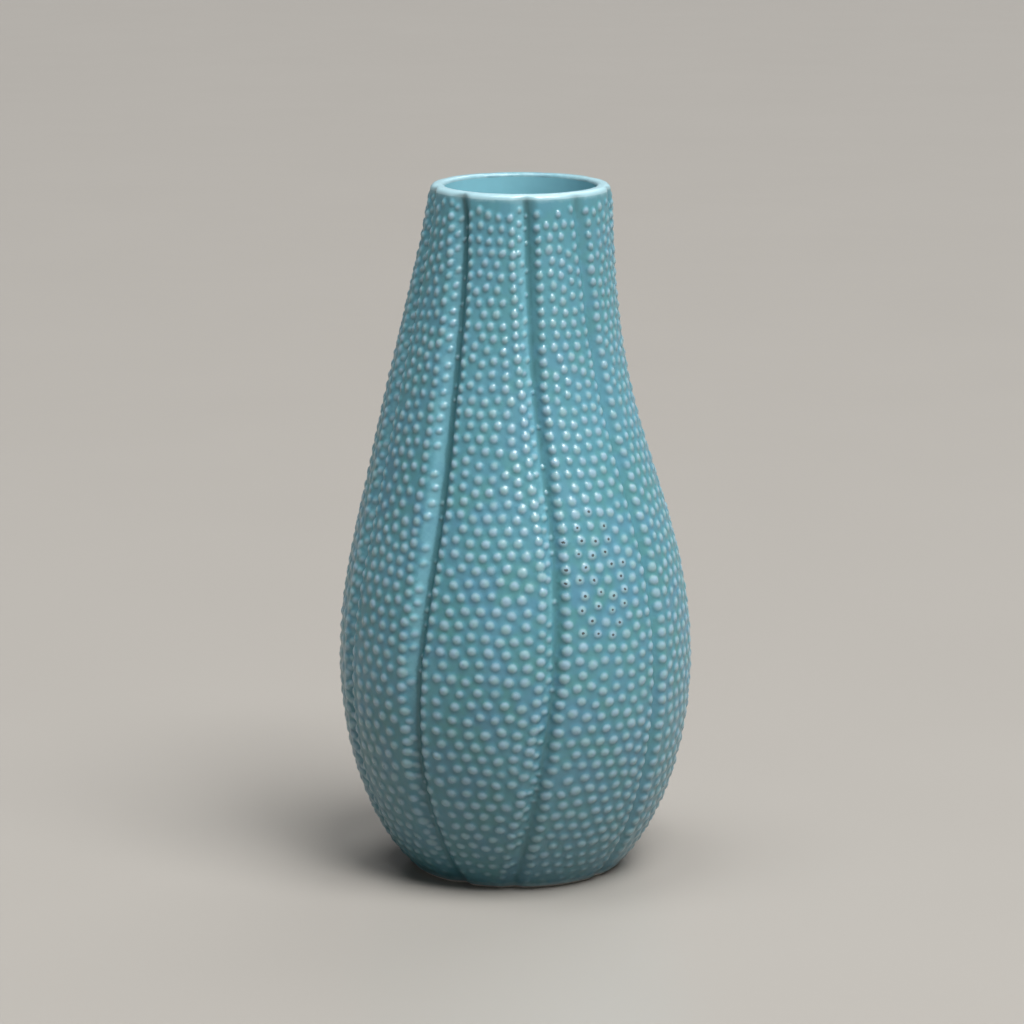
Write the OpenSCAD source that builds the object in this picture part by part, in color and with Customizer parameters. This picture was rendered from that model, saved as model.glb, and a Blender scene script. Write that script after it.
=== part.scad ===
// Ceramic bud vase: a slip-cast, nine-lobed bottle form in three fired layers.
// Units are millimetres, +Z is up, and the origin is the centre of the foot on the table plane.
//
// clay_body    the cast clay wall, floor and foot ring, and the only load-bearing piece
// outer_glaze  the coloured glass coat outside, carried over the lip into the throat
// liner_glaze  the glass coat poured inside, from the throat down to the floor
//
// The outside is one curve from foot to lip, pushed inwards along the valleys between the lobes.
// The inside is plainly round, so the throat is a true cylinder.

/* [Overall] */

// Height from the table to the top of the lip
overall_h = 210; // [195:1:225]

// Widest diameter, across the lobes of the belly
belly_d = 106.6; // [98:0.2:114]

// Height of the widest place above the table
belly_z = 65; // [58:1:72]

// Outside diameter at the lip
mouth_d = 54; // [50:0.5:60]

// Diameter of the foot where it meets the table
foot_d = 62.4; // [56:0.4:68]

/* [Outside curve] */

// How far the wall spreads out as it leaves the foot
foot_spread = 12.9; // [10:0.1:15]

// How far the wall rises as it leaves the foot
foot_rise = 11.9; // [10:0.1:15]

// Length over which the belly stays upright below its widest place
belly_under = 27.4; // [22:0.2:32]

// Length over which the belly stays upright above its widest place
belly_over = 41.7; // [34:0.1:46]

// Length of the straight part of the neck
neck_l = 77; // [60:1:84]

// Slope of the neck at the lip, in degrees from upright
neck_slope = 5.8; // [3:0.1:8]

/* [Lobes] */

// Number of lobes around the vase
lobes = 9; // [7:1:11]

// Depth of the valleys between lobes at the belly
valley_belly = 1.4; // [0.6:0.1:1.8]

// Depth of the valleys at the lip
valley_lip = 0.9; // [0.4:0.1:1.2]

// Depth of the valleys at the foot
valley_foot = 0.6; // [0.2:0.1:0.8]

// How closely the valleys are pinched: higher is narrower
valley_pinch = 2.2; // [1.6:0.1:3]

/* [Walls] */

// Clay wall at the belly
wall = 4.2; // [3.4:0.1:5]

// Clay floor above the recess in the foot
floor_t = 4.5; // [3.5:0.1:6]

// Diameter of the glazed throat
throat_d = 45.8; // [44:0.1:46.4]

// Length of the straight throat, measured down from the top of the lip
throat_l = 10; // [8:0.5:14]

// Rounding of the outer edge of the lip
lip_out = 1.8; // [1.4:0.1:2]

// Rounding of the inner edge of the lip
lip_in = 1.2; // [0.9:0.1:1.4]

/* [Glaze] */

// Thickness of both glaze coats
glaze_t = 0.35; // [0.3:0.05:0.5]

// Share of the belly's lower curve left as bare clay above the foot
bare_share = 0.025; // [0.02:0.005:0.05]

/* [Foot] */

// Width of the bare clay ring that the vase stands on
ring_w = 5.5; // [4.5:0.5:7]

// Depth of the recess inside the ring
recess_h = 1.6; // [1:0.1:2]

// Rounding where the recess meets the ring
recess_r = 1; // [0.6:0.1:1]

/* [Hidden] */

clay_colour = [0.90, 0.87, 0.81];
glaze_colour = [0.37, 0.62, 0.66];
liner_colour = [0.42, 0.68, 0.71];

// Curve steps: foot to belly, belly to neck, and around the edges of the lip
low_steps = 9;
high_steps = 13;
lip_steps = 4;

// Columns of one lobe, as shares of its width, closest together in the valleys
lobe_shares = [0, 0.09, 0.2, 0.36, 0.5, 0.64, 0.8, 0.91];

belly_r = belly_d / 2;
mouth_r = mouth_d / 2;
foot_r = foot_d / 2;
throat_r = throat_d / 2;
floor_z = recess_h + floor_t;
lip_z = overall_h - lip_out;

// Outside curve as two cubic Bezier curves of [radius, height], smooth where they meet
low_curve = [
    [foot_r, 0],
    [foot_r + foot_spread, foot_rise],
    [belly_r, belly_z - belly_under],
    [belly_r, belly_z]
];
high_end = [mouth_r, lip_z + lip_out * sin(neck_slope)];
high_curve = [
    [belly_r, belly_z],
    [belly_r, belly_z + belly_over],
    high_end + neck_l * [sin(neck_slope), -cos(neck_slope)],
    high_end
];
lip_centre = [mouth_r - lip_out * cos(neck_slope), lip_z];

// Cavity curve of the clay: floor to belly, then belly to throat
cavity_r = belly_r - glaze_t - wall;
bore_r = throat_r + glaze_t;
floor_r = foot_r - 3.3;
cavity_low = [
    [floor_r, floor_z],
    [floor_r + 7.6, floor_z],
    [cavity_r, belly_z - belly_under - 1.7],
    [cavity_r, belly_z]
];
cavity_end = [bore_r, overall_h - throat_l];
cavity_high = [
    [cavity_r, belly_z],
    [cavity_r, belly_z + belly_over - 3],
    cavity_end + 0.8 * neck_l * [sin(neck_slope), -cos(neck_slope)],
    cavity_end
];

// Point on a cubic Bezier curve
function bezier(p, t) =
    pow(1 - t, 3) * p[0]
    + 3 * pow(1 - t, 2) * t * p[1]
    + 3 * (1 - t) * t * t * p[2]
    + pow(t, 3) * p[3];

// Direction along the curve
function heading(p, t) =
    pow(1 - t, 2) * (p[1] - p[0])
    + 2 * (1 - t) * t * (p[2] - p[1])
    + t * t * (p[3] - p[2]);

// Point on the curve moved towards the axis, square to the curve
function inset(p, t, d) =
    let (h = heading(p, t))
    bezier(p, t) + d * [-h[1], h[0]] / norm(h);

// Arc of the lip's outer edge, from the neck to the flat top
function lip_arc(d) = [
    for (i = [1:lip_steps])
        let (a = neck_slope + (90 - neck_slope) * i / lip_steps)
        lip_centre + (lip_out - d) * [cos(a), sin(a)]
];

// Arc of the lip's inner edge, from the flat top to the throat
function throat_arc(d) = [
    for (i = [0:lip_steps])
        let (a = 90 + 90 * i / lip_steps)
        [throat_r + lip_in, overall_h - lip_in] + (lip_in - d) * [cos(a), sin(a)]
];

// Outside profile at depth d below the glaze surface, from the glaze line to the top of the lip
function side_profile(d) = concat(
    [for (i = [0:low_steps])
        inset(low_curve, bare_share + (1 - bare_share) * i / low_steps, d)],
    [for (i = [1:high_steps]) inset(high_curve, i / high_steps, d)],
    lip_arc(d)
);

// Valley depth at height z: greatest at the belly, less towards the foot and the lip
function valley_at(z) =
    let (
        up = max(0, min(1, (z - belly_z) / (overall_h - belly_z))),
        down = max(0, min(1, (belly_z - z) / belly_z))
    )
    valley_belly
    - (valley_belly - valley_lip) * up
    - (valley_belly - valley_foot) * down * down;

// Share of the valley depth at an angle: 1 in a valley, 0 on the crown of a lobe
function valley_share(angle) = pow(1 - abs(sin(lobes * angle / 2)), valley_pinch);

angles = [
    for (k = [0:lobes - 1])
        for (s = lobe_shares)
            (k + s) * 360 / lobes
];
columns = len(angles);

// One ring of points from a profile point, following the lobes when amount is 1
function ring(p, amount) = [
    for (a = angles)
        let (r = p[0] - amount * valley_at(p[1]) * valley_share(a))
        [r * cos(a), r * sin(a), p[1]]
];

function rings(profile, amount) = [for (p = profile) each ring(p, amount)];

// Two triangles for each cell between ring i and ring j
function band(i, j) = [
    for (c = [0:columns - 1])
        let (n = (c + 1) % columns)
        each [
            [i * columns + c, j * columns + c, j * columns + n],
            [i * columns + c, j * columns + n, i * columns + n]
        ]
];

// Lobed solid under the glaze: the clay's outside, closed flat at the foot and at the lip
module lobed_blank() {
    profile = concat([[foot_r - glaze_t, 0]], side_profile(glaze_t));
    last = len(profile) - 1;
    polyhedron(
        points = rings(profile, 1),
        faces = concat(
            [[for (c = [0:columns - 1]) c]],
            [for (i = [0:last - 1]) each band(i, i + 1)],
            [[for (c = [columns - 1:-1:0]) last * columns + c]]
        )
    );
}

// Room inside the clay, with its rounded entry at the lip
module cavity() {
    entry_r = lip_in - glaze_t;
    entry_z = overall_h - lip_in;
    rotate_extrude($fn = 144)
        polygon(concat(
            [[0, floor_z]],
            [for (i = [0:low_steps]) bezier(cavity_low, i / low_steps)],
            [for (i = [1:high_steps]) bezier(cavity_high, i / high_steps)],
            [for (i = [0:lip_steps])
                let (a = 180 - 90 * i / lip_steps)
                [throat_r + lip_in, entry_z] + entry_r * [cos(a), sin(a)]],
            [[throat_r + lip_in, overall_h + 1], [0, overall_h + 1]]
        ));
}

// Shallow recess that leaves the foot as a ring
module foot_recess() {
    r = foot_r - ring_w;
    rotate_extrude($fn = 144)
        polygon(concat(
            [[0, -1], [r, -1]],
            [for (i = [0:lip_steps])
                let (a = 90 * i / lip_steps)
                [r - recess_r, recess_h - recess_r] + recess_r * [cos(a), sin(a)]],
            [[0, recess_h]]
        ));
}

module clay_body() {
    color(clay_colour)
        difference() {
            lobed_blank();
            cavity();
            foot_recess();
        }
}

module outer_glaze() {
    outside = side_profile(0);
    inside = side_profile(glaze_t);
    reversed = [for (i = [len(inside) - 1:-1:0]) inside[i]];
    over = throat_arc(0);
    under = throat_arc(glaze_t);
    back = [for (i = [lip_steps:-1:0]) under[i]];
    count = len(outside) + len(over) + len(back) + len(inside);
    color(glaze_colour)
        polyhedron(
            points = concat(
                rings(outside, 1),
                rings(over, 0),
                rings(back, 0),
                rings(reversed, 1)
            ),
            faces = [for (i = [0:count - 1]) each band(i, (i + 1) % count)]
        );
}

module liner_glaze() {
    color(liner_colour)
        rotate_extrude($fn = 144)
            polygon(concat(
                [[0, floor_z]],
                [for (i = [0:low_steps]) bezier(cavity_low, i / low_steps)],
                [for (i = [1:high_steps]) bezier(cavity_high, i / high_steps)],
                [[bore_r, overall_h - lip_in], [throat_r, overall_h - lip_in]],
                [[throat_r, overall_h - throat_l]],
                [for (i = [high_steps - 1:-1:1]) inset(cavity_high, i / high_steps, glaze_t)],
                [for (i = [low_steps:-1:0]) inset(cavity_low, i / low_steps, glaze_t)],
                [[0, floor_z + glaze_t]]
            ));
}

clay_body();
outer_glaze();
liner_glaze();
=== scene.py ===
"""Ceramic bud vase: nine soft lobes covered in small raised beads, under a glossy teal glaze.

The CAD holds the three fired layers as plain shells. This script builds the same three layers at full
detail: the outer glaze with every bead as real geometry, the liner glaze, and the clay with its foot ring.
Shapes are worked out in millimetres and become metres only when a mesh is made.
"""

import math

import bpy
import numpy as np
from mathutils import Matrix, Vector
from mathutils.geometry import delaunay_2d_cdt
from mathutils.kdtree import KDTree


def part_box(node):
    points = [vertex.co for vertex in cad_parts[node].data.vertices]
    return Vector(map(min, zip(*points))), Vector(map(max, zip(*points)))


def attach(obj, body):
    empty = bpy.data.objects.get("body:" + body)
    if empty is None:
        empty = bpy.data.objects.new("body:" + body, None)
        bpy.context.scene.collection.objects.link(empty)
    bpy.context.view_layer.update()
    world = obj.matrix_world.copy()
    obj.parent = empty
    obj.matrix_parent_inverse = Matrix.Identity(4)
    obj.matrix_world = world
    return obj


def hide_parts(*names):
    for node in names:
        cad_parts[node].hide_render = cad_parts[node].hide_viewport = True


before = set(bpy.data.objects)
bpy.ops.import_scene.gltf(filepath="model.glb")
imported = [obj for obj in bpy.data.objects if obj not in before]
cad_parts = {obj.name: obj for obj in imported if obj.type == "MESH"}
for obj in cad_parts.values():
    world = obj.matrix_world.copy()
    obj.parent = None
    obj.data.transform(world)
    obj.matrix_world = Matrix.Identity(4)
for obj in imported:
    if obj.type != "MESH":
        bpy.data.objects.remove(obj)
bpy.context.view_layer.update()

MM = 0.001
TAU = 2.0 * math.pi

random = np.random.default_rng(793)

# ---------------------------------------------------------------- sizes, in millimetres

# The outline on the crown of a lobe: its height and radii, and the handles of its two curves, from the foot
# to the belly and from the belly to the lip
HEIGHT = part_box("outer_glaze")[1].z / MM
BELLY_R = -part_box("outer_glaze")[0].x / MM
BELLY_Z = 65.0
MOUTH_R = 27.0
FOOT_R = 31.2
FOOT_SPREAD = 12.9
FOOT_RISE = 11.9
BELLY_UNDER = 27.4
BELLY_OVER = 41.7
NECK_L = 77.0
NECK_SLOPE = math.radians(5.8)

# How far the centre of the fired vase stands off its axis, along X: the most, its height and its reach
LEANS = ((1.5, 212.0, 24.0), (-1.9, 148.0, 34.0))

# The rounding of the lip's outer and inner edge, and the straight throat below it
LIP_OUT = 1.8
LIP_IN = 1.2
THROAT_R = 22.9
THROAT_L = 10.0

# The clay wall at the belly, both glaze coats, and the share of the lower curve that is left bare of glaze
WALL = 4.2
GLAZE_T = 0.35
BARE_SHARE = 0.025

# The ring under the foot with the rounding of its edges, and the recess inside it
RING_W = 5.5
RING_EDGE = 0.5
RECESS_H = 1.6
RECESS_R = 1.0

# The hollow: the radius and height of its flat floor, and the handle with which the floor turns up into the
# wall. Against those of the outline, its handle under the belly is longer by HOLLOW_UNDER, the one over the
# belly is shorter by HOLLOW_OVER, and the one at the neck is HOLLOW_NECK as long.
FLOOR_R = FOOT_R - 3.3
FLOOR_Z = 6.1
FLOOR_TURN = 7.6
HOLLOW_UNDER = 1.7
HOLLOW_OVER = 3.0
HOLLOW_NECK = 0.8

# The valleys between the lobes. Each row gives the angle at mid height in degrees, then how the valley
# wanders with height (its slope, and its bow and swing the other way, as the degrees they reach 100 mm above
# mid height), then its depth as a share of VALLEY_DEPTH, and the width of its left and right wall
VALLEYS = (
    (2.0, 1.0, 9.0, 3.0, 0.85, 4.4, 3.6),
    (42.0, 2.0, 8.0, 4.0, 1.0, 4.8, 3.6),
    (82.0, 1.0, 9.0, 2.0, 1.05, 4.4, 3.6),
    (122.0, 2.0, 8.0, 4.0, 0.9, 4.6, 3.6),
    (162.0, 2.0, 7.0, 5.0, 0.85, 4.4, 3.6),
    (202.5, 3.0, 6.0, 5.0, 1.0, 4.6, 3.6),
    (240.0, 9.0, 6.5, 13.5, 1.3, 5.4, 3.4),
    (284.5, 0.5, 12.0, 0.0, 1.0, 4.8, 3.4),
    (323.0, -2.5, 8.5, 4.5, 0.75, 3.6, 3.4),
)
LOBES = len(VALLEYS)
MID_HEIGHT = 110.0

# Depth of a full valley on the body, at the lip and at the foot, and how far below the lip it starts to fade
VALLEY_DEPTH = 2.3
VALLEY_LIP = 0.6
VALLEY_FOOT = 1.3
VALLEY_FADE = 9.0

# How closely a valley is pinched, and how much of its width is rounded at the bottom
VALLEY_PINCH = 1.4
VALLEY_SOFT = 0.16

# The distance from the line of a valley over which its darker colour fades out, both glaze pooled in the
# crease and painted shade, and how much less pale the lip and the foot's roll are painted on their back half
# than at their front, as painted shade
POOL_SHADE_WIDTH = 1.25
LIP_BACK_SHADE = 0.6

# The gutters: how far the full-size beads keep clear of the left side of each valley, at these heights
GUTTER_HEIGHTS = (50.0, 115.0, 190.0)
GUTTERS = (
    (3.4, 3.6, 3.4),
    (4.4, 5.2, 4.4),
    (4.0, 4.6, 4.8),
    (3.4, 4.2, 3.8),
    (3.8, 3.6, 3.4),
    (4.0, 5.0, 4.2),
    (4.0, 7.4, 4.9),
    (4.2, 4.4, 4.8),
    (3.1, 3.2, 3.0),
)

# The painted light in a gutter, its glaze painted lighter for the lit wall of the valley: its gap to the
# full-size beads, the lengths over which it fades in from them and from the valley, the width of a gutter
# that starts to show it, and the extra width that shows it in full
GUTTER_LIGHT_GAP = 0.6
GUTTER_LIGHT_FADES = (2.6, 1.4)
GUTTER_LIGHT_FROM = 3.4
GUTTER_LIGHT_MORE = 1.2

# Bead spacing and half size at these radii of the vase: across and along the outline
BEAD_RADII = (28.0, 44.0, 53.0)
PITCH_ACROSS = (3.3, 4.35, 4.75)
PITCH_ALONG = (3.5, 3.9, 4.05)
BEAD_ACROSS = (1.32, 1.86, 2.14)
BEAD_ALONG = (1.62, 1.84, 1.90)

# Height of a full-size bead, and the two powers that shape its dome
BEAD_H = 0.57
DOME = (2.1, 1.45)

# The first column of beads stands this far to the right of a valley. Where its gutter is wider than NARROW,
# small and tiny beads stand in it, at these shares of its width from the valley.
FIRST_COLUMN = 3.0
NARROW = 3.9
SMALL_SHARE = 0.5
TINY_SHARE = 0.06

# The size of full-size, small and tiny beads, and the share of the small and of the tiny ones that are there
GRADES = (1.0, 0.80, 0.58)
SMALL_PRESENT = 0.85
TINY_PRESENT = 0.45

# How far up the outline the small beads start, how much further up the tiny ones do, how far below the last
# row they end, and how evenly they stand: the spread across their column, and the shortest and longest step
# along it, in pitches
SMALL_START = 3.0
TINY_START = 20.0
SMALL_END = 1.0
SMALL_SPREAD = 0.35
SMALL_STEPS = (0.95, 1.25)

# The height at which the beads start and the drop below the lip at which they end, how much later than that
# a lobe may start at random, and how far along the outline single beads may be pushed past these
LOWEST_BEAD = 2.8
HIGHEST_BEAD = 3.1
START_SHAKE = 2.0
PAST_LOWEST = 1.0
PAST_HIGHEST = 0.6

# How unevenly the beads are laid, in pitches: the outer columns of a lobe across and along, the beads between
# them across and along, and the shift from one row to the next. Inside its outer beads a row keeps ROW_ENDS
# free, and a share drawn from ROUND_UP is added to its exact count before that is cut to a whole number.
COLUMN_SHAKE = (0.1, 0.2)
BEAD_SHAKE = (0.3, 0.4)
ROW_SHIFT = (0.38, 0.62)
ROW_ENDS = (0.55, 0.5)
ROUND_UP = (0.3, 0.7)

# How crowded beads are pushed apart: neighbours looked at, distance in pitches that is wide enough, share of
# the overlap taken up in one step, share of it along a column for a bead that keeps its column, and steps
NEIGHBOURS = 6
WIDE_ENOUGH = 1.08
PUSH_SHARE = 0.2
SLIDE_SHARE = 0.3
PUSH_STEPS = 15

# How much single beads differ: in size and height as shares, and in tilt in radians
SIZE_SPREAD = 0.055
HEIGHT_SPREAD = 0.08
TILT_SPREAD = 0.25

# Near the foot and the lip the beads fade over these lengths, to these shares of their size and height. The
# fade at the lip ends this far past the highest bead.
FOOT_FADE = 16.0
FOOT_SIZE = 0.86
FOOT_LOW = 0.45
LIP_FADE = 5.0
LIP_FADE_PAST = 2.6
LIP_SIZE = 0.85
LIP_LOW = 0.6

# Below this height the beads grow wider and a little shorter towards the foot, by these shares at the table,
# and quickest at first, by this power
LOW_HEIGHT = 60.0
LOW_WIDER = 0.23
LOW_SHORTER = 0.06
LOW_POWER = 0.7

# A patch of beads with a pinhole in their glaze: its angle and height, its half width and half height,
# the share of its beads that have one, and the depth of a pinhole
PINHOLE_SPOT = (math.radians(298.5), 99.0)
PINHOLE_REACH = (math.radians(14.0), 19.0)
PINHOLE_SHARE = 0.85
PINHOLE_DEPTH = 0.16

# The glaze thins out over this height at the lip, and a painted reflection of the table fades in over this
# height at the foot; the thinning at the lip goes by this power, and the painted reflection on the roll above
# the foot is this much
THIN_LIP = 3.1
FOOT_REFLECTION = 3.0
THIN_POWER = 1.2
ROLL_REFLECTION = 0.7

# How much of the lobes is left on the flat of the lip and where it turns into the throat, and how much deeper
# they are under the glaze
LIP_LOBES = 0.75
THROAT_LOBES = 0.4
CLAY_LOBES = 1.06

# How far the glaze's lower edge rolls down, and how far inside that edge the bare clay starts
ROLL_H = 0.14
BARE_INSET = 0.05

# Mesh resolution: columns of the plain rings, then steps of the hidden curves, of the lip's two edges, of the
# straight throat, and of the recess's rounding and the ring's edges, and rings of points on the floor as
# shares of its radius
AROUND = 360
HIDDEN_STEPS = (60, 120)
HOLLOW_STEPS = (20, 30)
LIP_STEPS = 8
THROAT_STEPS = 6
RISE_STEPS = 5
RECESS_STEPS = 6
EDGE_STEPS = 5
FLOOR_SHARES = (0.35, 0.7)

# Mesh resolution of the beaded wall: steps of the outline, rings of points on a bead as (share, count), the
# turn from one ring to the next in points, ground columns, and how many beads a point may lie on
OUTLINE_STEPS = (300, 500)
BEAD_RINGS = ((0.30, 6), (0.62, 9), (0.84, 12), (1.0, 12))
RING_TURN = 0.37
GROUND_COLUMNS = 324
TOUCHING = 3

# Edges of the mesh that turn by more than this stay sharp
SHARP_FROM = math.radians(60)

# Points of the ground keep clear of the beads by this many bead radii, and of the line of points in a valley
# by this share of a ground column. The points of that line stand this share of a column apart.
BEAD_CLEAR = 1.14
LINE_CLEAR = 0.6
LINE_STEP = 0.8

# Points of the beads keep clear of the bottom ring by this length in radii, and of the top ring by this one
# in millimetres. A tiny random shake, in radians, keeps the triangulation free of ties.
BOTTOM_CLEAR = 0.012
TOP_CLEAR = 0.4
SHAKE = 1e-4


# ---------------------------------------------------------------- the outline of the vase


def bezier(p, steps, start=0.0):
    """Points of a cubic Bezier curve from the share start to its end."""
    p = np.array(p, float)
    t = np.linspace(start, 1, steps + 1)[:, None]
    return (1 - t) ** 3 * p[0] + 3 * (1 - t) ** 2 * t * p[1] + 3 * (1 - t) * t * t * p[2] + t**3 * p[3]


def arc(centre, radius, start, end, steps):
    """Points of an arc, with its angles in degrees."""
    a = np.radians(np.linspace(start, end, steps + 1))
    return np.array(centre) + radius * np.stack([np.cos(a), np.sin(a)], 1)


def down_neck(end, length):
    """The handle of a curve that arrives at end with the slope of the neck."""
    return (end[0] + length * math.sin(NECK_SLOPE), end[1] - length * math.cos(NECK_SLOPE))


def outside_curve(low_steps, high_steps):
    """Glaze surface from the glaze line above the foot to the lip, as [radius, height] on a lobe's crown."""
    foot_handle = (FOOT_R + FOOT_SPREAD, FOOT_RISE)
    low = [(FOOT_R, 0), foot_handle, (BELLY_R, BELLY_Z - BELLY_UNDER), (BELLY_R, BELLY_Z)]
    end = (MOUTH_R, HEIGHT - LIP_OUT + LIP_OUT * math.sin(NECK_SLOPE))
    high = [(BELLY_R, BELLY_Z), (BELLY_R, BELLY_Z + BELLY_OVER), down_neck(end, NECK_L), end]
    return np.vstack([bezier(low, low_steps, BARE_SHARE), bezier(high, high_steps)[1:]])


def cavity_curve(low_steps, high_steps):
    """Clay surface of the hollow from the floor to the throat, as [radius, height]."""
    belly = BELLY_R - GLAZE_T - WALL
    under = BELLY_Z - BELLY_UNDER - HOLLOW_UNDER
    over = BELLY_Z + BELLY_OVER - HOLLOW_OVER
    low = [(FLOOR_R, FLOOR_Z), (FLOOR_R + FLOOR_TURN, FLOOR_Z), (belly, under), (belly, BELLY_Z)]
    end = (THROAT_R + GLAZE_T, HEIGHT - THROAT_L)
    high = [(belly, BELLY_Z), (belly, over), down_neck(end, HOLLOW_NECK * NECK_L), end]
    return np.vstack([bezier(low, low_steps), bezier(high, high_steps)[1:]])


def inset(curve, depth):
    """The curve moved towards the axis by depth, square to itself."""
    heading = np.gradient(curve, axis=0)
    heading /= np.linalg.norm(heading, axis=1, keepdims=True)
    return curve + depth * np.stack([-heading[:, 1], heading[:, 0]], 1)


def lip_arc(depth):
    """Outer edge of the lip at a depth below the glaze, from the neck to the flat top."""
    centre = (MOUTH_R - LIP_OUT * math.cos(NECK_SLOPE), HEIGHT - LIP_OUT)
    return arc(centre, LIP_OUT - depth, math.degrees(NECK_SLOPE), 90, LIP_STEPS)


def throat_arc(depth):
    """Inner edge of the lip at a depth below the glaze, from the flat top to the throat."""
    return arc((THROAT_R + LIP_IN, HEIGHT - LIP_IN), LIP_IN - depth, 90, 180, THROAT_STEPS)


# The outline as fine steps, with the length along it so far, in millimetres and in radii of the vase
OUTSIDE = outside_curve(*OUTLINE_STEPS)
RUN = np.concatenate([[0.0], np.cumsum(np.linalg.norm(np.diff(OUTSIDE, axis=0), axis=1))])
TURN = np.concatenate([[0.0], np.cumsum(np.diff(RUN) * 2 / (OUTSIDE[1:, 0] + OUTSIDE[:-1, 0]))])


def radius_at(run):
    """Radius of the lobes' crowns at a length along the outline."""
    return np.interp(run, RUN, OUTSIDE[:, 0])


def height_at(run):
    """Height above the table at a length along the outline."""
    return np.interp(run, RUN, OUTSIDE[:, 1])


def run_at_height(z):
    """Length along the outline at a height above the table."""
    return np.interp(z, OUTSIDE[:, 1], RUN)


def turn_at(run):
    """Length along the outline in radii: equal steps of it and of angle make squares on the vase."""
    return np.interp(run, RUN, TURN)


def run_at_turn(turn):
    """Length along the outline, in millimetres, from its length in radii."""
    return np.interp(turn, TURN, RUN)


def lean(z):
    """How far the centre of the vase stands off its axis at a height, along X: no cast vase is quite true."""
    return sum(most * np.exp(-(((z - middle) / reach) ** 2)) for most, middle, reach in LEANS)


# ---------------------------------------------------------------- the lobes


def valley_angles(z):
    """Angle of every valley at the heights z, in a new last axis."""
    t = (np.asarray(z, float)[..., None] - MID_HEIGHT) / 100.0
    middle, slope, bow, swing = np.array(VALLEYS).T[:4]
    return np.radians(middle + slope * t - bow * t**2 - swing * t**3)


def valley_depth(z):
    """Full depth on the body, less at the foot, and fading quickly just under the lip."""
    up = np.clip((z - HEIGHT + VALLEY_FADE) / VALLEY_FADE, 0, 1)
    down = np.clip((BELLY_Z - z) / BELLY_Z, 0, 1)
    return VALLEY_DEPTH - (VALLEY_DEPTH - VALLEY_LIP) * up**2 - (VALLEY_DEPTH - VALLEY_FOOT) * down**2


def valley_offsets(angle, z):
    """Distance of a point to the right of every valley, in a new last axis."""
    turn = (np.asarray(angle)[..., None] - valley_angles(z) + math.pi) % TAU - math.pi
    return turn * np.interp(z, OUTSIDE[:, 1], OUTSIDE[:, 0])[..., None]


def valley_share(angle, z):
    """About 1 in the bottom of a valley, falling smoothly to 0 at the top of its walls."""
    deep, left, right = np.array(VALLEYS).T[4:]
    across = valley_offsets(angle, z)
    rise = np.hypot(across / np.where(across < 0, left, right), VALLEY_SOFT)
    top = math.hypot(1, VALLEY_SOFT)
    return (deep * np.clip((top - rise) / (top - VALLEY_SOFT), 0, 1) ** VALLEY_PINCH).max(-1)


def valley_pool_and_shade(angle, z):
    """About 1 on the line of a valley and about 0 beyond 3 mm from it, where the glaze gathers deeper and
    shade is painted into the crease.
    """
    deep = np.array(VALLEYS)[:, 4]
    return (deep**2 * np.exp(-((valley_offsets(angle, z) / POOL_SHADE_WIDTH) ** 2))).max(-1)


def gutter(valley, z):
    """Width of the strip without full-size beads on the left of a valley."""
    return np.interp(z, GUTTER_HEIGHTS, GUTTERS[valley])


def gutter_share(angle, z):
    """About 1 in the strip without full-size beads on the left of a wide valley, and 0 elsewhere: where light
    is painted into the glaze.
    """
    across = valley_offsets(angle, z)
    width = np.stack([gutter(valley, z) for valley in range(LOBES)], -1)
    from_beads = np.clip((width - GUTTER_LIGHT_GAP + across) / GUTTER_LIGHT_FADES[0], 0, 1)
    from_valley = np.clip(-across / GUTTER_LIGHT_FADES[1], 0, 1)
    wide = np.clip((width - GUTTER_LIGHT_FROM) / GUTTER_LIGHT_MORE, 0, 1)
    return (wide * (from_beads * from_valley)).max(-1)


def place(angle, radius, z):
    """Points in space from cylinder coordinates, with the lean of the vase."""
    return np.stack([radius * np.cos(angle) + lean(z), radius * np.sin(angle), z], -1)


def ground(angle, run):
    """Points of the glaze between the beads."""
    z = height_at(run)
    return place(angle, radius_at(run) - valley_depth(z) * valley_share(angle, z), z)


def ground_normal(angle, run):
    """Direction square to the ground, pointing outwards, from its slope over a short step each way."""
    step = 0.2
    turn_step = step / radius_at(run)
    round_ = ground(angle + turn_step, run) - ground(angle - turn_step, run)
    along = ground(angle, np.minimum(run + step, RUN[-1])) - ground(angle, np.maximum(run - step, 0))
    normal = np.cross(round_, along)
    return normal / np.linalg.norm(normal, axis=-1, keepdims=True)


# ---------------------------------------------------------------- where the beads go


def shake(most):
    """A random number from -most to most."""
    return random.uniform(-most, most)


def bead_rows(lobe, first, last):
    """Full-size beads of one lobe, row by row: angle, run, and whether the bead keeps its column."""
    rows = []
    run = first + random.uniform(0, START_SHAKE)
    phase = random.uniform()
    after = (lobe + 1) % LOBES
    while run < last:
        radius = radius_at(run)
        z = height_at(run)
        valleys = valley_angles(z)
        start = valleys[lobe] + FIRST_COLUMN / radius
        end = valleys[after] - gutter(after, z) / radius
        width = (end - start) % TAU
        pitch = np.interp(radius, BEAD_RADII, PITCH_ALONG)
        across = np.interp(radius, BEAD_RADII, PITCH_ACROSS)
        count = int(width * radius / across + random.uniform(*ROUND_UP))
        for k in (0, count):
            share = (k + shake(COLUMN_SHAKE[0])) / count
            stagger = 0.5 * (k % 2) + shake(COLUMN_SHAKE[1])
            rows.append((start + width * share, run + stagger * pitch, True))
        for k in np.arange(ROW_ENDS[0] + phase, count - ROW_ENDS[1]):
            share = (k + shake(BEAD_SHAKE[0])) / count
            rows.append((start + width * share, run + shake(BEAD_SHAKE[1]) * pitch, False))
        run += pitch
        phase = (phase + random.uniform(*ROW_SHIFT)) % 1.0
    return rows


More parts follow.
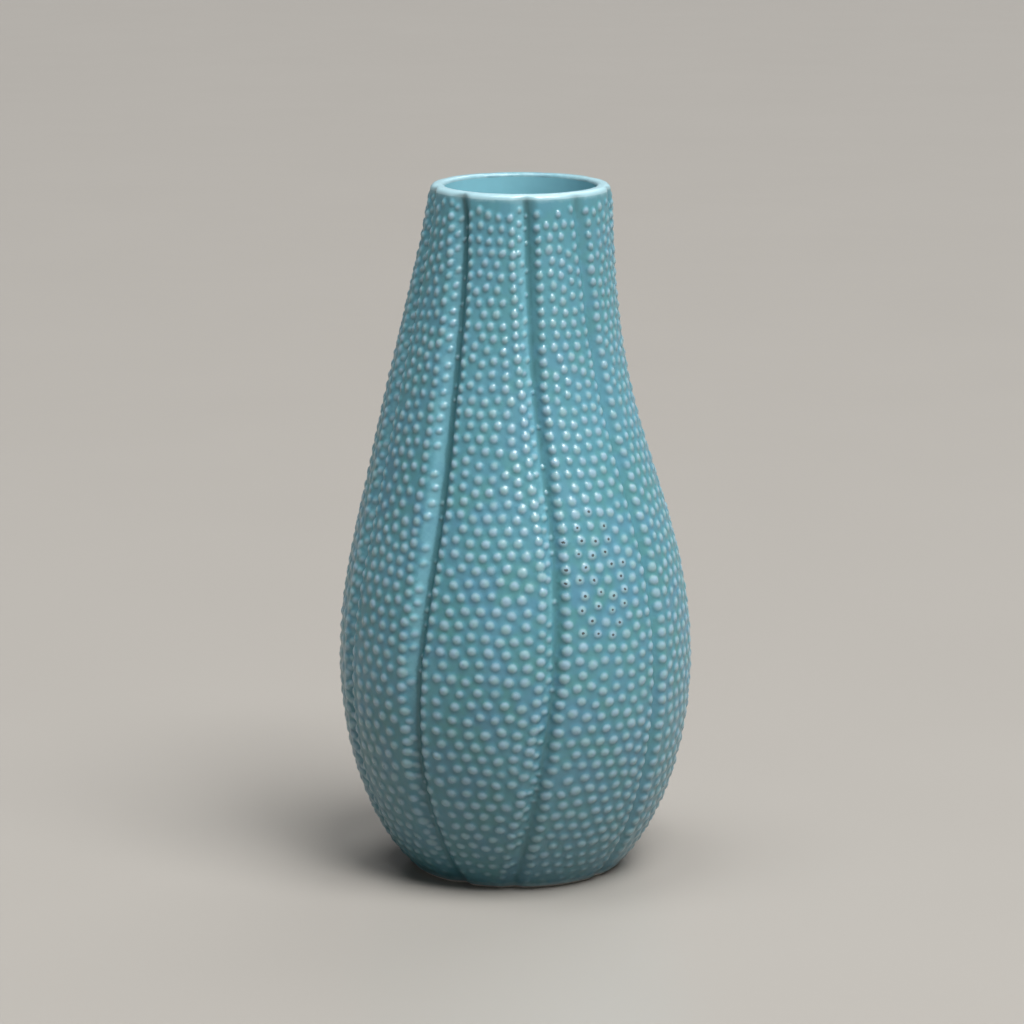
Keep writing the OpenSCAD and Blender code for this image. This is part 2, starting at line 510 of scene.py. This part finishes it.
def small_beads(valley, column, first, last, share):
    """A thin column of lesser beads in the gutter of a valley, some of them missing, in the same form."""
    column_beads = []
    run = first + SMALL_START + random.uniform(0, START_SHAKE)
    while run < last - SMALL_END:
        z = height_at(run)
        width = gutter(valley, z)
        if width > NARROW and random.uniform() < share:
            offset = random.normal(0, SMALL_SPREAD) - column * width
            column_beads.append((valley_angles(z)[valley] + offset / radius_at(run), run, True))
        run += np.interp(radius_at(run), BEAD_RADII, PITCH_ALONG) * random.uniform(*SMALL_STEPS)
    return column_beads


def spread_beads(angles, runs, fixed):
    """One step of pushing crowded beads apart. Fixed beads keep their column and slide along it."""
    radii = radius_at(runs)
    wide = np.interp(radii, BEAD_RADII, PITCH_ACROSS)
    long = np.interp(radii, BEAD_RADII, PITCH_ALONG)
    points = np.stack([radii * np.cos(angles), radii * np.sin(angles), height_at(runs)], -1)
    tree = KDTree(len(points))
    for i, point in enumerate(points):
        tree.insert(point, i)
    tree.balance()
    near = np.array([[found[1] for found in tree.find_n(point, NEIGHBOURS + 1)][1:] for point in points])
    turn = (angles[:, None] - angles[near] + math.pi) % TAU - math.pi
    x = turn * (radii / wide)[:, None]
    y = (runs[:, None] - runs[near]) / long[:, None]
    far = np.maximum(np.hypot(x, y), 1e-6)
    push = np.where(far < WIDE_ENOUGH, (WIDE_ENOUGH - far) * PUSH_SHARE, 0.0) / far
    angles += (push * x).sum(1) * wide / radii * np.where(fixed, 0.0, 1.0)
    runs += (push * y).sum(1) * long * np.where(fixed, SLIDE_SHARE, 1.0)


def faded(fade, least):
    """1 where fade is 1, and least where it is 0."""
    return least + (1 - least) * fade


def lay_out_beads():
    """Every bead's angle, run, half width, half length, height, tilt and pinhole, as arrays."""
    first = run_at_height(LOWEST_BEAD)
    last = run_at_height(HEIGHT - HIGHEST_BEAD)
    full = []
    small = []
    tiny = []
    for lobe in range(LOBES):
        full += bead_rows(lobe, first, last)
        small += small_beads(lobe, SMALL_SHARE, first, last, SMALL_PRESENT)
        tiny += small_beads(lobe, TINY_SHARE, first + TINY_START, last, TINY_PRESENT)
    angles, runs, fixed = (np.array(column) for column in zip(*full, *small, *tiny))
    for _ in range(PUSH_STEPS):
        spread_beads(angles, runs, fixed)
    runs = np.clip(runs, first - PAST_LOWEST, last + PAST_HIGHEST)
    count = len(runs)
    radii = radius_at(runs)
    heights = height_at(runs)
    foot_fade = np.clip((runs - first + PAST_LOWEST) / FOOT_FADE, 0, 1)
    lip_fade = np.clip((last + LIP_FADE_PAST - runs) / LIP_FADE, 0, 1)
    low = np.clip((LOW_HEIGHT - heights) / LOW_HEIGHT, 0, 1) ** LOW_POWER
    grade = np.repeat(GRADES, [len(full), len(small), len(tiny)])
    off = np.stack([(angles - PINHOLE_SPOT[0] + math.pi) % TAU - math.pi, heights - PINHOLE_SPOT[1]], 1)
    inside = np.linalg.norm(off / PINHOLE_REACH, axis=1) < 1
    size = random.normal(1.0, SIZE_SPREAD, count) * grade * faded(foot_fade, FOOT_SIZE)
    size *= faded(lip_fade, LIP_SIZE)
    high = BEAD_H * grade * random.normal(1.0, HEIGHT_SPREAD, count)
    tilt = random.normal(0.0, TILT_SPREAD, count)
    open_hole = random.uniform(size=count) < PINHOLE_SHARE
    return {
        "angle": angles,
        "run": runs,
        "wide": np.interp(radii, BEAD_RADII, BEAD_ACROSS) * size * (1 + LOW_WIDER * low),
        "long": np.interp(radii, BEAD_RADII, BEAD_ALONG) * size * (1 - LOW_SHORTER * low),
        "high": high * faded(foot_fade, FOOT_LOW) * faded(lip_fade, LIP_LOW),
        "tilt": tilt,
        "pinhole": np.where(inside & (grade == GRADES[0]) & open_hole, 1.0, 0.0),
    }


BEADS = lay_out_beads()


def bead_offsets(bead, angle, run):
    """Distance of a point from the middle of a bead, in bead radii."""
    x = ((angle - BEADS["angle"][bead] + math.pi) % TAU - math.pi) * radius_at(BEADS["run"][bead])
    y = run - BEADS["run"][bead]
    cos = np.cos(BEADS["tilt"][bead])
    sin = np.sin(BEADS["tilt"][bead])
    return np.hypot((x * cos + y * sin) / BEADS["wide"][bead], (y * cos - x * sin) / BEADS["long"][bead])


def nearest_beads(angles, runs, count):
    """Indices of the beads nearest to each point, in the unrolled surface."""
    tree = KDTree(3 * len(BEADS["run"]))
    for wrap in (-TAU, 0.0, TAU):
        for i, flat in enumerate(zip(BEADS["angle"] + wrap, turn_at(BEADS["run"]))):
            tree.insert((*flat, 0.0), i)
    tree.balance()
    flat = zip(angles % TAU, turn_at(runs))
    return np.array([[found[1] for found in tree.find_n((a, t, 0.0), count)] for a, t in flat])


def relief(angles, runs):
    """Height of the glaze over the ground, how far up a bead each point lies, and how far into a pinhole."""
    pinhole_reach = BEAD_RINGS[0][0]
    near = nearest_beads(angles, runs, TOUCHING)
    height = np.zeros(len(angles))
    crown = np.zeros(len(angles))
    pinhole = np.zeros(len(angles))
    for column in near.T:
        far = np.clip(bead_offsets(column, angles, runs), 0, 1)
        dome = (1 - far ** DOME[0]) ** DOME[1]
        height += BEADS["high"][column] * dome
        crown = np.maximum(crown, dome * BEADS["high"][column] / BEAD_H)
        pinhole = np.maximum(pinhole, BEADS["pinhole"][column] * np.clip(1 - far / pinhole_reach, 0, 1))
    return height - PINHOLE_DEPTH * pinhole, crown, pinhole


# ---------------------------------------------------------------- mesh building


def make_piece(name, points, faces, attributes):
    """A smooth-shaded piece from points in millimetres. Each attribute has one number per point."""
    mesh = bpy.data.meshes.new(name)
    mesh.from_pydata((np.asarray(points) * MM).tolist(), [], faces)
    mesh.update()
    mesh.shade_smooth()
    mesh.set_sharp_from_angle(angle=SHARP_FROM)
    for key, values in attributes.items():
        layer = mesh.attributes.new(key, "FLOAT", "POINT")
        layer.data.foreach_set("value", np.asarray(values, np.float32))
    piece = bpy.data.objects.new(name, mesh)
    bpy.context.scene.collection.objects.link(piece)
    return piece


def strip(low, high, around):
    """Quads between two rings of points, given the index of each ring's first point."""
    return [(low + i, low + (i + 1) % around, high + (i + 1) % around, high + i) for i in range(around)]


def bead_points():
    """Mesh points on every bead: its middle and its rings."""
    angles = [BEADS["angle"]]
    runs = [BEADS["run"]]
    radius = radius_at(BEADS["run"])
    cos = np.cos(BEADS["tilt"])
    sin = np.sin(BEADS["tilt"])
    for ring, (share, count) in enumerate(BEAD_RINGS):
        for k in range(count):
            a = TAU * (k + RING_TURN * ring) / count
            x = share * BEADS["wide"] * math.cos(a)
            y = share * BEADS["long"] * math.sin(a)
            angles.append(BEADS["angle"] + (x * cos - y * sin) / radius)
            runs.append(BEADS["run"] + x * sin + y * cos)
    return np.concatenate(angles), np.concatenate(runs)


def ground_points():
    """Mesh points between the beads: a triangular grid, and a line along the bottom of each valley."""
    step = TAU / GROUND_COLUMNS
    rows = np.arange(step, TURN[-1] - 0.5 * step, step * math.sqrt(0.75))
    shift = 0.5 * (np.arange(len(rows)) % 2)
    angles = ((np.arange(GROUND_COLUMNS)[None, :] + shift[:, None]) * step).ravel()
    turns = np.repeat(rows, GROUND_COLUMNS)
    across = (angles[:, None] - valley_angles(height_at(run_at_turn(turns))) + math.pi) % TAU - math.pi
    off_line = np.abs(across).min(1) > LINE_CLEAR * step
    line = np.arange(step, TURN[-1] - 0.5 * step, LINE_STEP * step)
    line_angles = valley_angles(height_at(run_at_turn(line))).T.ravel()
    angles = np.concatenate([angles[off_line], line_angles])
    runs = run_at_turn(np.concatenate([turns[off_line], np.tile(line, LOBES)]))
    far = bead_offsets(nearest_beads(angles, runs, 1)[:, 0], angles, runs)
    return angles[far > BEAD_CLEAR], runs[far > BEAD_CLEAR]


def unrolled_triangles(angles, turns):
    """Triangles over points on the unrolled vase, joined up where the angle comes full circle.

    Points within the margin of the seam are doubled on its other side, and the triangles there are kept once.
    """
    margin = 0.25
    angles = angles % TAU
    flat = list(zip(angles, turns))
    owner = list(range(len(flat)))
    for wrap, side in ((TAU, angles < margin), (-TAU, angles > TAU - margin)):
        for i in np.nonzero(side)[0]:
            flat.append((angles[i] + wrap, turns[i]))
            owner.append(int(i))
    points, _, faces, origin, _, _ = delaunay_2d_cdt([Vector(p) for p in flat], [], [], 0, 1e-9)
    owner = np.array([owner[ids[0]] for ids in origin])
    across = np.array([p.x for p in points])
    faces = np.array(faces)
    middle = across[faces].mean(1)
    faces = faces[(middle >= 0) & (middle < TAU)]
    return owner[faces]


def beaded_wall():
    """Angles, runs and triangles of the beaded wall. The bottom ring comes first, then the top ring."""
    ring = np.arange(AROUND) * TAU / AROUND
    bead_angles, bead_runs = bead_points()
    inside = (turn_at(bead_runs) > BOTTOM_CLEAR) & (bead_runs < RUN[-1] - TOP_CLEAR)
    ground_angles, ground_runs = ground_points()
    angles = np.concatenate([ring, ring, bead_angles[inside], ground_angles])
    runs = np.concatenate([np.zeros(AROUND), np.full(AROUND, RUN[-1]), bead_runs[inside], ground_runs])
    angles[2 * AROUND :] += random.uniform(-SHAKE, SHAKE, len(angles) - 2 * AROUND)
    return angles, runs, unrolled_triangles(angles, turn_at(runs))


def lobed_ring(radius, z, amount):
    """A ring of points that follows the lobes by amount: 0 is round, and 1 is their full depth."""
    angle = np.arange(AROUND) * TAU / AROUND
    return place(angle, radius - amount * valley_depth(z) * valley_share(angle, z), np.full(AROUND, z))


def plain_rings(profile, amounts):
    """The points of one ring after the other, for each [radius, height] of a profile."""
    return np.vstack([lobed_ring(r, z, amount) for (r, z), amount in zip(profile, amounts)])


# ---------------------------------------------------------------- the pieces


def build_outer_glaze():
    """The coloured coat: the beaded wall, the lip, and the coat's own underside against the clay."""
    angles, runs, wall_faces = beaded_wall()
    height, crown, pinhole = relief(angles, runs)
    points = ground(angles, runs) + height[:, None] * ground_normal(angles, runs)
    z = height_at(runs)
    gutter_light_mask = gutter_share(angles, z)
    pool_and_shade = valley_pool_and_shade(angles, z)
    # The thin mask: the glaze thinning at the lip, and a painted reflection of the table on the edge at the
    # foot
    thin = np.clip(1 - (HEIGHT - z) / THIN_LIP, 0, 1) ** THIN_POWER + np.clip(1 - z / FOOT_REFLECTION, 0, 1)

    lip = lip_arc(0)[1:]
    throat = throat_arc(0)
    back = np.vstack([throat_arc(GLAZE_T)[::-1], lip_arc(GLAZE_T)[::-1]])
    under = inset(outside_curve(*HIDDEN_STEPS), GLAZE_T)[::-1][1:]
    low = OUTSIDE[0]
    roll = [low * (1 - t) + under[-1] * t - (0, ROLL_H * math.sin(math.pi * t)) for t in (0.75, 0.5, 0.25)]
    profile = np.vstack([lip, throat, back, under, roll])
    amounts = np.concatenate([
        np.linspace(1, LIP_LOBES, len(lip)),
        np.linspace(THROAT_LOBES, 0, len(throat)),
        np.linspace(0, 1, len(back)),
        np.full(len(under), CLAY_LOBES),
        np.ones(len(roll)),
    ])
    rings = plain_rings(profile, amounts)
    start = len(points)
    faces = wall_faces.tolist()
    firsts = [AROUND] + [start + AROUND * i for i in range(len(profile))] + [0]
    for lower, upper in zip(firsts, firsts[1:]):
        faces += strip(lower, upper, AROUND)
    none = np.zeros(len(rings))
    # Painted shade: the rings of the lip and of the foot's roll are painted less pale on their back half
    back_share = np.clip(np.sin(np.arange(AROUND) * TAU / AROUND), 0, 1)
    ring_share = np.where(profile[:, 1] > HEIGHT / 2, 1.0, ROLL_REFLECTION)
    ring_thin = np.outer(ring_share, 1 - LIP_BACK_SHADE * back_share).ravel()
    piece = make_piece(
        "outer_glaze_coat",
        np.vstack([points, rings]),
        faces,
        {
            "crown": np.concatenate([crown, none]),
            "gutter_light_mask": np.concatenate([gutter_light_mask, none]),
            "pool_and_shade": np.concatenate([pool_and_shade, none]),
            "thin": np.concatenate([thin, ring_thin]),
            "pinhole": np.concatenate([pinhole, none]),
        },
    )
    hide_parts("outer_glaze")
    return piece


def turned_solid(name, profile, amounts):
    """A closed turned solid whose profile starts and ends on the axis."""
    rings = plain_rings(profile[1:-1], amounts[1:-1])
    count = len(profile) - 2
    start = (lean(profile[0][1]), 0, profile[0][1])
    end = (lean(profile[-1][1]), 0, profile[-1][1])
    points = np.vstack([rings, [start, end]])
    faces = []
    for ring in range(count - 1):
        faces += strip(ring * AROUND, (ring + 1) * AROUND, AROUND)
    last = (count - 1) * AROUND
    for i in range(AROUND):
        n = (i + 1) % AROUND
        faces.append((len(rings), n, i))
        faces.append((len(rings) + 1, last + i, last + n))
    return make_piece(name, points, faces, {})


def build_liner_glaze():
    """The poured coat inside, from the floor to the throat."""
    clay = cavity_curve(*HOLLOW_STEPS)
    top = HEIGHT - LIP_IN
    skin = inset(clay, GLAZE_T)
    skin[-1] = (THROAT_R, HEIGHT - THROAT_L)
    rise = np.linspace(HEIGHT - THROAT_L, top, RISE_STEPS + 1)[1:]
    up = np.stack([np.full(RISE_STEPS, THROAT_R + GLAZE_T), rise], 1)
    down = np.stack([np.full(RISE_STEPS, THROAT_R), rise[::-1]], 1)
    floor = [(FLOOR_R * share, FLOOR_Z) for share in FLOOR_SHARES]
    floor_skin = [(FLOOR_R * share, FLOOR_Z + GLAZE_T) for share in FLOOR_SHARES[::-1]]
    axis = [[(0, FLOOR_Z)], [(0, FLOOR_Z + GLAZE_T)]]
    profile = np.vstack([axis[0], floor, clay, up, down, skin[::-1], floor_skin, axis[1]])
    piece = turned_solid("liner_glaze_coat", profile, np.zeros(len(profile)))
    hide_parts("liner_glaze")
    return piece


def build_clay_body():
    """The cast clay: foot ring and recess, lobed wall under the glaze, and the hollow."""
    recess = FOOT_R - RING_W
    under = [(0, RECESS_H), (recess * 0.5, RECESS_H)]
    fillet = arc((recess - RECESS_R, RECESS_H - RECESS_R), RECESS_R, 90, 0, RECESS_STEPS)
    ring_in = arc((recess + RING_EDGE, RING_EDGE), RING_EDGE, 180, 270, EDGE_STEPS)
    ring_out = arc((FOOT_R - RING_EDGE, RING_EDGE), RING_EDGE, 270, 350, EDGE_STEPS)
    side = inset(outside_curve(*HIDDEN_STEPS), GLAZE_T)
    bare = [OUTSIDE[0] - (BARE_INSET, BARE_INSET)]
    lip = np.vstack([lip_arc(GLAZE_T)[1:], throat_arc(GLAZE_T)])
    hollow = cavity_curve(*HOLLOW_STEPS)[::-1]
    profile = np.vstack([under, fillet, ring_in, ring_out, bare, side, lip, hollow, [(0, FLOOR_Z)]])
    outside = len(under) + len(fillet) + len(ring_in)
    lobed = len(ring_out) + len(bare) + len(side)
    amounts = np.zeros(len(profile))
    amounts[outside : outside + lobed] = CLAY_LOBES
    amounts[outside + lobed : outside + lobed + LIP_STEPS] = np.linspace(1, LIP_LOBES, LIP_STEPS)
    piece = turned_solid("clay_body_cast", profile, amounts)
    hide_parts("clay_body")
    return piece


# ---------------------------------------------------------------- materials


# Linear colours of the outer glaze. Its ground drifts between blue and green, with bluer clouds and lighter
# patches. It is painted lighter towards the neck, as painted light, and darker towards the foot, as painted
# shade. In the gutters beside the valleys it is painted lighter, as painted light on their lit walls, and on
# the line of each valley it is deeper, both glaze pooled in the crease and painted shade. It is paler over
# the beads, partly where the glaze breaks thin and partly as a painted sheen, and less so towards the foot,
# as painted shade. It is palest on the thin glaze of the lip's edge, and on the foot's edge as a painted
# reflection.
GROUND_BLUE = (0.076, 0.228, 0.285)
GROUND_GREEN = (0.076, 0.232, 0.245)
GROUND_CLOUD = (0.088, 0.224, 0.330)
GROUND_LIGHT = (0.098, 0.275, 0.345)
GROUND_NECK_PAINTED_LIGHT = (0.115, 0.320, 0.390)
GROUND_FOOT_PAINTED_SHADE = (0.040, 0.120, 0.145)
GROUND_GUTTER_LIGHT = (0.155, 0.375, 0.455)
GROUND_POOL_AND_SHADE = (0.060, 0.185, 0.215)
BEAD_BLUE = (0.246, 0.384, 0.470)
BEAD_GREEN = (0.231, 0.384, 0.420)
BEAD_FOOT_PAINTED_SHADE = (0.105, 0.200, 0.240)
THIN_EDGE_AND_REFLECTION = (0.315, 0.488, 0.540)
PINHOLE_PAINTED_SHADE = (0.066, 0.080, 0.085)

# Linear colours of the liner glaze, the clay and the table top
LINER_DEEP = (0.185, 0.475, 0.575)
LINER_LIGHT = (0.205, 0.505, 0.590)
LINER_TOP = (0.320, 0.630, 0.720)
CLAY_DARK = (0.76, 0.74, 0.70)
CLAY_LIGHT = (0.82, 0.80, 0.76)
CLAY_GROG = (0.55, 0.50, 0.43)
TABLE_DARK = (0.298, 0.282, 0.259)
TABLE_LIGHT = (0.301, 0.285, 0.262)


class Shader:
    """A material's node tree with short calls for the nodes used here."""

    def __init__(self, name):
        self.material = bpy.data.materials.new(name)
        self.material.use_nodes = True
        self.nodes = self.material.node_tree.nodes
        self.links = self.material.node_tree.links
        self.surface = self.nodes["Principled BSDF"]
        self.place = self.nodes.new("ShaderNodeTexCoord").outputs["Object"]

    def join(self, value, socket):
        """Links a socket, or sets a plain value."""
        if isinstance(value, bpy.types.NodeSocket):
            self.links.new(value, socket)
        else:
            socket.default_value = value

    def attribute(self, name):
        """The piece's own number per point under this name."""
        node = self.nodes.new("ShaderNodeAttribute")
        node.attribute_name = name
        return node.outputs["Fac"]

    def height(self):
        """Height above the table, in metres."""
        node = self.nodes.new("ShaderNodeSeparateXYZ")
        self.join(self.place, node.inputs["Vector"])
        return node.outputs["Z"]

    def noise(self, scale, detail=3.0, roughness=0.5, distortion=0.0):
        """Cloudy noise around 0.5, with this many clouds to a metre."""
        node = self.nodes.new("ShaderNodeTexNoise")
        self.join(self.place, node.inputs["Vector"])
        node.inputs["Scale"].default_value = scale
        node.inputs["Detail"].default_value = detail
        node.inputs["Roughness"].default_value = roughness
        node.inputs["Distortion"].default_value = distortion
        return node.outputs["Fac"]

    def math(self, operation, a, b):
        """The result of a named sum on two values or sockets."""
        node = self.nodes.new("ShaderNodeMath")
        node.operation = operation
        self.join(a, node.inputs[0])
        self.join(b, node.inputs[1])
        return node.outputs[0]

    def span(self, value, low, high, out_low=0.0, out_high=1.0):
        """Value from low to high, brought smoothly to out_low to out_high."""
        node = self.nodes.new("ShaderNodeMapRange")
        node.interpolation_type = "SMOOTHSTEP"
        self.join(value, node.inputs["Value"])
        for key, number in (("From Min", low), ("From Max", high), ("To Min", out_low), ("To Max", out_high)):
            node.inputs[key].default_value = number
        return node.outputs["Result"]

    def mix(self, share, a, b):
        """Colour a where share is 0, b where it is 1."""
        node = self.nodes.new("ShaderNodeMix")
        node.data_type = "RGBA"
        self.join(share, node.inputs["Factor"])
        self.join((*a, 1) if isinstance(a, tuple) else a, node.inputs["A"])
        self.join((*b, 1) if isinstance(b, tuple) else b, node.inputs["B"])
        return node.outputs["Result"]

    def bump(self, height, strength, distance, under=None):
        """Fine unevenness of the surface, on top of that of another bump."""
        node = self.nodes.new("ShaderNodeBump")
        node.inputs["Strength"].default_value = strength
        node.inputs["Distance"].default_value = distance
        self.join(height, node.inputs["Height"])
        if under is not None:
            self.join(under, node.inputs["Normal"])
        return node.outputs["Normal"]


def outer_glaze_material():
    """Glossy teal: pale over the beads, partly thin glaze and partly a painted sheen, and over the thin lip;
    painted light at the neck and in the gutters, painted shade in the valleys over the gathered glaze, at the
    foot and in the pinholes, and a painted reflection on the foot's edge.
    """
    m = Shader("teal_glaze")
    crown = m.attribute("crown")
    gutter_light_mask = m.attribute("gutter_light_mask")
    pool_and_shade = m.attribute("pool_and_shade")
    thin = m.attribute("thin")
    drift = m.noise(38, 2)
    cloud = m.noise(95, 2)
    patch = m.noise(230, 3, 0.55)
    blotch = m.noise(420, 2)

    # The ground between the beads, with painted light at the neck and in the gutters, glaze pooled in the
    # valleys with painted shade, and painted shade near the foot
    ground = m.mix(m.span(patch, 0.35, 0.65), GROUND_BLUE, GROUND_GREEN)
    ground = m.mix(m.span(cloud, 0.45, 0.62, 0, 0.6), ground, GROUND_CLOUD)
    ground = m.mix(m.span(drift, 0.35, 0.7, 0, 0.5), ground, GROUND_LIGHT)
    # Painted light: the ground is lighter towards the neck
    ground = m.mix(m.span(m.height(), 0.08, 0.20, 0, 0.4), ground, GROUND_NECK_PAINTED_LIGHT)
    # Painted light: the ground is lighter in the gutters, for the lit left wall of each valley
    smooth = m.math("ADD", gutter_light_mask, m.span(patch, 0.35, 0.65, -0.42, 0.12))
    ground = m.mix(m.span(smooth, 0.0, 1.0, 0, 0.8), ground, GROUND_GUTTER_LIGHT)
    # Glaze pooled on the line of each valley, and painted shade of its crease
    deep = m.math("ADD", pool_and_shade, m.span(patch, 0.35, 0.65, -0.25, 0.15))
    ground = m.mix(m.span(deep, 0.25, 1.0, 0, 0.85), ground, GROUND_POOL_AND_SHADE)
    # Painted shade: the ground is darker towards the foot
    ground = m.mix(m.span(m.height(), 0.0, 0.085, 0.5, 0), ground, GROUND_FOOT_PAINTED_SHADE)

    # The beads, paler over their crowns along an uneven line: partly the glaze breaking thin there, partly a
    # painted sheen
    top = m.mix(m.span(blotch, 0.4, 0.62), BEAD_BLUE, BEAD_GREEN)
    # Painted shade: the bead tops are darker towards the foot
    top = m.mix(m.span(m.height(), 0.0, 0.075, 0.46, 0), top, BEAD_FOOT_PAINTED_SHADE)
    break_and_sheen = m.math("ADD", crown, m.span(patch, 0.3, 0.7, -0.08, 0.08))
    colour = m.mix(m.span(break_and_sheen, 0.14, 0.85, 0, 0.97), ground, top)

    # The thin glaze at the lip, the painted reflection on the edge at the foot, and painted shade in the
    # pinholes with their uneven rims
    edge = m.math("ADD", thin, m.span(blotch, 0.3, 0.7, -0.08, 0.08))
    colour = m.mix(m.span(edge, 0.05, 0.85, 0, 0.95), colour, THIN_EDGE_AND_REFLECTION)
    # Painted shade and a painted dark reflection: the pinholes are coloured near-black
    pit_shade = m.math("MULTIPLY", m.attribute("pinhole"), m.span(m.noise(1500, 1), 0.35, 0.6, 0.6, 1.7))
    colour = m.mix(m.span(pit_shade, 0.12, 0.40), colour, PINHOLE_PAINTED_SHADE)
    m.join(colour, m.surface.inputs["Base Color"])

    # A soft gloss, a little sharper on the beads, under a thin clear coat, with a faint orange peel
    gloss = m.math("ADD", m.span(patch, 0.3, 0.75, -0.03, 0.04), m.span(crown, 0.0, 0.7, 0.36, 0.30))
    m.join(gloss, m.surface.inputs["Roughness"])
    m.surface.inputs["IOR"].default_value = 1.44
    m.surface.inputs["Coat Weight"].default_value = 0.22
    m.surface.inputs["Coat Roughness"].default_value = 0.06
    peel = m.bump(m.noise(900, 2), 0.06, 0.0004)
    m.join(m.bump(m.noise(260, 2), 0.08, 0.0012, peel), m.surface.inputs["Normal"])
    return m.material


def liner_glaze_material():
    """The glass poured inside and left smooth: an even teal that turns paler towards the lip."""
    m = Shader("liner_glaze")
    drift = m.noise(30, 3)
    colour = m.mix(m.span(drift, 0.3, 0.7), LINER_DEEP, LINER_LIGHT)
    colour = m.mix(m.span(m.height(), 0.186, 0.209, 0, 0.45), colour, LINER_TOP)
    m.join(colour, m.surface.inputs["Base Color"])
    m.join(m.span(m.noise(120, 2), 0.3, 0.7, 0.12, 0.2), m.surface.inputs["Roughness"])
    m.surface.inputs["IOR"].default_value = 1.52
    m.join(m.bump(m.noise(90, 2), 0.12, 0.002), m.surface.inputs["Normal"])
    return m.material


def clay_material():
    """Fired off-white clay, matt, with fine grog and the marks of a damp sponge."""
    m = Shader("bare_clay")
    grain = m.noise(1400, 3, 0.65)
    wipe = m.noise(60, 3, 0.6, 0.8)
    colour = m.mix(m.span(wipe, 0.3, 0.7), CLAY_DARK, CLAY_LIGHT)
    colour = m.mix(m.span(grain, 0.62, 0.74, 0, 0.4), colour, CLAY_GROG)
    m.join(colour, m.surface.inputs["Base Color"])
    m.join(m.span(grain, 0.3, 0.7, 0.72, 0.9), m.surface.inputs["Roughness"])
    m.join(m.bump(grain, 0.35, 0.0003), m.surface.inputs["Normal"])
    return m.material


def floor_material():
    """A plain pale table top with a soft sheen."""
    m = Shader("pale_table")
    tone = m.mix(m.span(m.noise(6, 2), 0.3, 0.7), TABLE_DARK, TABLE_LIGHT)
    m.join(tone, m.surface.inputs["Base Color"])
    m.join(m.span(m.noise(14, 2), 0.3, 0.7, 0.305, 0.315), m.surface.inputs["Roughness"])
    return m.material


# ---------------------------------------------------------------- the set


# The camera, in metres and degrees: a long lens, a little above the vase and looking slightly down at it
CAMERA_LENS = 149.67
CAMERA_PLACE = (-0.0011, -1.26445, 0.37897)
CAMERA_DOWN = 12.03

# Half the width of the table top, the distance of the suns from the vase, and the light of the room
TABLE_HALF = 6.0
SUN_DISTANCE = 2.0
ROOM_COLOUR = (0.76, 0.77, 0.78, 1)
ROOM_STRENGTH = 0.18


def build_floor():
    """A table top that runs on to the horizon."""
    half = TABLE_HALF
    mesh = bpy.data.meshes.new("table_top")
    corners = [(-half, -half, 0), (half, -half, 0), (half, half, 0), (-half, half, 0)]
    mesh.from_pydata(corners, [], [(0, 1, 2, 3)])
    mesh.materials.append(floor_material())
    floor = bpy.data.objects.new("table_top", mesh)
    bpy.context.scene.collection.objects.link(floor)


def add_light(name, kind, azimuth, elevation, distance, power, colour):
    """A light aimed at the middle of the vase. Azimuth 0 is the camera's side, 90 its right."""
    light = bpy.data.lights.new(name, kind)
    light.energy = power
    light.color = colour
    a = math.radians(azimuth)
    e = math.radians(elevation)
    aim = Vector((0, 0, HEIGHT * MM / 2))
    back = Vector((math.sin(a) * math.cos(e), -math.cos(a) * math.cos(e), math.sin(e)))
    lamp = bpy.data.objects.new(name, light)
    lamp.location = aim + back * distance
    lamp.rotation_euler = back.to_track_quat("Z", "Y").to_euler()
    bpy.context.scene.collection.objects.link(lamp)
    return lamp


def add_sun(name, azimuth, elevation, strength, softness, colour):
    """A far light that is this many degrees across."""
    lamp = add_light(name, "SUN", azimuth, elevation, SUN_DISTANCE, strength, colour)
    lamp.data.angle = math.radians(softness)


def add_window(name, azimuth, elevation, distance, size, power, colour):
    """A near rectangular light of this width and height, which the camera itself doesn't see."""
    lamp = add_light(name, "AREA", azimuth, elevation, distance, power, colour)
    lamp.data.shape = "RECTANGLE"
    lamp.data.size, lamp.data.size_y = size
    lamp.visible_camera = False


def build_lights():
    """A broad window on the right, weaker light from the ceiling and the back, a glint, and a dim room."""
    add_sun("window_right", azimuth=43, elevation=62, strength=4.6, softness=37, colour=(1.0, 0.99, 0.98))
    add_sun("ceiling_left", azimuth=-72, elevation=79, strength=1.2, softness=24, colour=(0.98, 0.99, 1.0))
    add_sun("window_back", azimuth=152, elevation=48, strength=0.8, softness=34, colour=(1.0, 1.0, 1.0))
    add_window(
        "glint", azimuth=30, elevation=54, distance=1.9, size=(0.34, 0.2), power=4.6, colour=(1.0, 1.0, 1.0)
    )
    world = bpy.data.worlds.new("room")
    world.use_nodes = True
    background = world.node_tree.nodes["Background"]
    background.inputs["Color"].default_value = ROOM_COLOUR
    background.inputs["Strength"].default_value = ROOM_STRENGTH
    bpy.context.scene.world = world


def build_camera():
    """The photograph's view of the vase."""
    camera = bpy.data.cameras.new("camera")
    camera.lens = CAMERA_LENS
    camera.sensor_width = 36.0
    camera.clip_start = 0.05
    camera.clip_end = 50.0
    view = bpy.data.objects.new("camera", camera)
    view.location = CAMERA_PLACE
    view.rotation_euler = (math.radians(90 - CAMERA_DOWN), 0, 0)
    bpy.context.scene.collection.objects.link(view)
    bpy.context.scene.camera = view


outer = build_outer_glaze()
liner = build_liner_glaze()
clay = build_clay_body()
for piece, material in (
    (outer, outer_glaze_material()),
    (liner, liner_glaze_material()),
    (clay, clay_material()),
):
    piece.data.materials.append(material)
    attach(piece, "root")

build_floor()
build_lights()
build_camera()
bpy.context.scene.view_settings.view_transform = "Standard"
